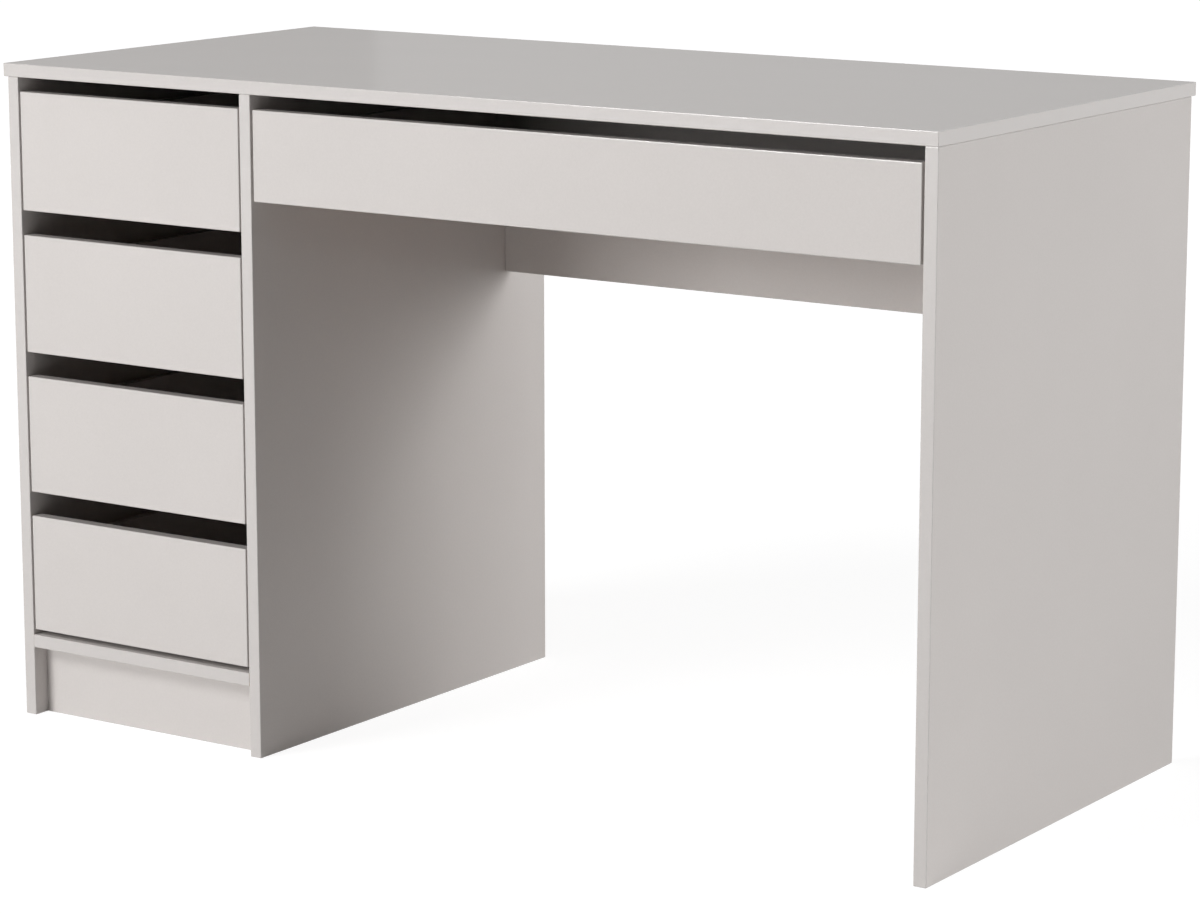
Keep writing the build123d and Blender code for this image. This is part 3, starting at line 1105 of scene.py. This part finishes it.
class DESK_OT_drawer_fronts(bpy.types.Operator):
    """Build the drawer fronts"""

    bl_idname = "writing_desk.drawer_fronts"
    bl_label = "Drawer fronts"

    def execute(self, context):
        for drawer in DRAWERS:
            show_board(f"{drawer}_front", ALL_ROUND, [f"{drawer}_bottom"])
        return {"FINISHED"}


class DESK_OT_drawer_boxes(bpy.types.Operator):
    """Build the sides and backs of the drawers"""

    bl_idname = "writing_desk.drawer_boxes"
    bl_label = "Drawer boxes"

    def execute(self, context):
        for drawer in DRAWERS:
            for piece in ("left_side", "right_side", "back"):
                show_board(f"{drawer}_{piece}", BOX_BANDS, [f"{drawer}_bottom"])
        return {"FINISHED"}


class DESK_OT_drawer_bottoms(bpy.types.Operator):
    """Build the thin bottoms of the drawers"""

    bl_idname = "writing_desk.drawer_bottoms"
    bl_label = "Drawer bottoms"

    def execute(self, context):
        for drawer in DRAWERS:
            show_sheet(f"{drawer}_bottom", "high")
        return {"FINISHED"}


class DESK_OT_runners(bpy.types.Operator):
    """Build the rails of the telescopic runners"""

    bl_idname = "writing_desk.runners"
    bl_label = "Runners"

    def execute(self, context):
        sizes = context.scene.desk_sizes
        screw_hole = THREAD_RADIUS + sizes.hole_clearance
        access_hole = FITTING_RADII["screw"] + DRIVER_ROOM
        show_rails("cabinet_rails", screw_hole, sizes.rail_lip)
        for drawer in DRAWERS:
            show_rails(f"{drawer}_middle_rails", access_hole)
            show_rails(f"{drawer}_drawer_rails", screw_hole)
        return {"FINISHED"}


class DESK_OT_ball_cages(bpy.types.Operator):
    """Build the ball cages of the runners"""

    bl_idname = "writing_desk.ball_cages"
    bl_label = "Ball cages"

    def execute(self, context):
        for drawer in DRAWERS:
            show_cages(f"{drawer}_ball_cages")
        return {"FINISHED"}


class DESK_OT_fittings(bpy.types.Operator):
    """Build the cam locks, bolts, dowels, screws and pins"""

    bl_idname = "writing_desk.fittings"
    bl_label = "Fittings"

    def execute(self, context):
        show_fittings("dowels")
        for node in ("cam_locks", "cam_bolts", "cabinet_rail_screws", "back_panel_pins"):
            show_fittings(node)
        for drawer in DRAWERS:
            show_fittings(f"{drawer}_fixings")
        return {"FINISHED"}


def straight_rays(tree):
    """1 for the rays that see the background: straight from the camera, mirrored or through glass."""
    path = add_node(tree, "ShaderNodeLightPath", {})
    bent = add_node(tree, "ShaderNodeMath", {
        "operation": "MAXIMUM",
        0: path.outputs["Is Glossy Ray"],
        1: path.outputs["Is Transmission Ray"],
    })
    seen = add_node(tree, "ShaderNodeMath", {
        "operation": "MAXIMUM",
        0: path.outputs["Is Camera Ray"],
        1: bent.outputs["Value"],
    })
    return seen.outputs["Value"]


def studio_paper():
    """Matt white paper. It looks white from the camera and keeps the desk's shadow."""
    material, tree, shader, place = new_material(
        "studio_paper", Base_Color=linear("#E6E6E6"), Roughness=0.9, IOR=1.3,
    )
    away = add_node(tree, "ShaderNodeVectorMath", {"operation": "LENGTH", 0: place})
    white = add_node(tree, "ShaderNodeMapRange", {
        "Value": away.outputs["Value"],
        "From Min": NEAR_DISTANCE,
        "From Max": FAR_DISTANCE,
        "To Min": NEAR_GLOW,
        "To Max": FAR_GLOW,
    })
    glow = add_node(tree, "ShaderNodeEmission", {"Strength": white.outputs["Result"]})
    paper = add_node(tree, "ShaderNodeBsdfDiffuse", {"Color": shaded(WHITE, SHADOW_PAPER)})
    bright = add_node(tree, "ShaderNodeAddShader", {
        0: glow.outputs["Emission"],
        1: paper.outputs["BSDF"],
    })
    mixed = add_node(tree, "ShaderNodeMixShader", {
        0: straight_rays(tree),
        1: shader.outputs["BSDF"],
        2: bright.outputs["Shader"],
    })
    tree.links.new(mixed.outputs["Shader"], tree.nodes["Material Output"].inputs["Surface"])
    return material


def studio_sky(strength):
    """Even light from all round, which looks white from the camera."""
    world = bpy.data.worlds.new("studio_sky")
    world.use_nodes = True
    tree = world.node_tree
    tree.nodes.clear()
    light = add_node(tree, "ShaderNodeBackground", {"Color": WHITE, "Strength": strength})
    white = add_node(tree, "ShaderNodeBackground", {"Color": WHITE, "Strength": 1.0})
    mixed = add_node(tree, "ShaderNodeMixShader", {
        0: straight_rays(tree),
        1: light.outputs["Background"],
        2: white.outputs["Background"],
    })
    add_node(tree, "ShaderNodeOutputWorld", {"Surface": mixed.outputs["Shader"]})
    return world


def add_floor(size):
    """A wide square of paper, which isn't part of the desk."""
    half = size / 2
    mesh = bpy.data.meshes.new("studio_floor")
    corners = [(-half, -half, 0), (half, -half, 0), (half, half, 0), (-half, half, 0)]
    mesh.from_pydata(corners, [], [(0, 1, 2, 3)])
    mesh.materials.append(studio_paper())
    floor = add_object("studio_floor", mesh)
    floor.location.z = -FLOOR_DROP


def add_lamp(lamp):
    """A softbox that the camera doesn't see."""
    data = bpy.data.lights.new(lamp.name, "AREA")
    data.shape = "RECTANGLE"
    data.size = lamp.width
    data.size_y = lamp.height
    data.energy = lamp.power
    light = add_object(lamp.name, data)
    light.location = lamp.place
    direction = Vector(lamp.aim) - Vector(lamp.place)
    light.rotation_euler = direction.to_track_quat("-Z", "Y").to_euler()
    light.visible_camera = False


def add_camera(studio):
    """The scene's camera, at the photo's angle."""
    data = bpy.data.cameras.new("photo_camera")
    data.sensor_fit = "HORIZONTAL"
    data.sensor_width = SENSOR_WIDTH
    data.lens = studio.camera_lens
    camera = add_object("photo_camera", data)
    camera.location = studio.camera_place
    camera.rotation_euler = (math.pi / 2 - studio.camera_tilt, 0.0, studio.camera_turn)
    bpy.context.scene.camera = camera


class DESK_OT_stage(bpy.types.Operator):
    """Set up the floor, the studio light and the camera"""

    bl_idname = "writing_desk.stage"
    bl_label = "Stage"

    def execute(self, context):
        scene = context.scene
        studio = scene.desk_studio
        add_floor(studio.floor_size)
        scene.world = studio_sky(studio.sky_strength)
        for lamp in LAMPS:
            add_lamp(lamp)
        add_camera(studio)
        scene.view_settings.view_transform = "Standard"
        return {"FINISHED"}


OPERATORS = (
    DESK_OT_carcass,
    DESK_OT_pedestal_back,
    DESK_OT_drawer_fronts,
    DESK_OT_drawer_boxes,
    DESK_OT_drawer_bottoms,
    DESK_OT_runners,
    DESK_OT_ball_cages,
    DESK_OT_fittings,
    DESK_OT_stage,
)
GROUPS = {"desk_sizes": DeskSizes, "desk_colours": DeskColours, "desk_studio": StudioSettings}


class DESK_PT_builder(bpy.types.Panel):
    """Lists the desk's settings and the steps that build it"""

    bl_idname = "DESK_PT_builder"
    bl_label = "Writing desk"
    bl_space_type = "VIEW_3D"
    bl_region_type = "UI"
    bl_category = "Desk"

    def draw(self, context):
        for name, group in GROUPS.items():
            box = self.layout.box()
            for setting in group.__annotations__:
                box.prop(getattr(context.scene, name), setting)
        for operator in OPERATORS:
            self.layout.operator(operator.bl_idname)


CLASSES = (*GROUPS.values(), *OPERATORS, DESK_PT_builder)


def register():
    """Add the desk's settings, steps and panel to Blender."""
    for item in CLASSES:
        bpy.utils.register_class(item)
    for name, group in GROUPS.items():
        setattr(bpy.types.Scene, name, PointerProperty(type=group))


def unregister():
    """Take the desk's settings, steps and panel out of Blender."""
    for name in GROUPS:
        delattr(bpy.types.Scene, name)
    for item in reversed(CLASSES):
        bpy.utils.unregister_class(item)


def main():
    """Build the desk and its stage."""
    register()
    desk = bpy.ops.writing_desk
    for operator in OPERATORS:
        getattr(desk, operator.bl_idname.split(".")[1])()


if __name__ == "__main__":
    main()
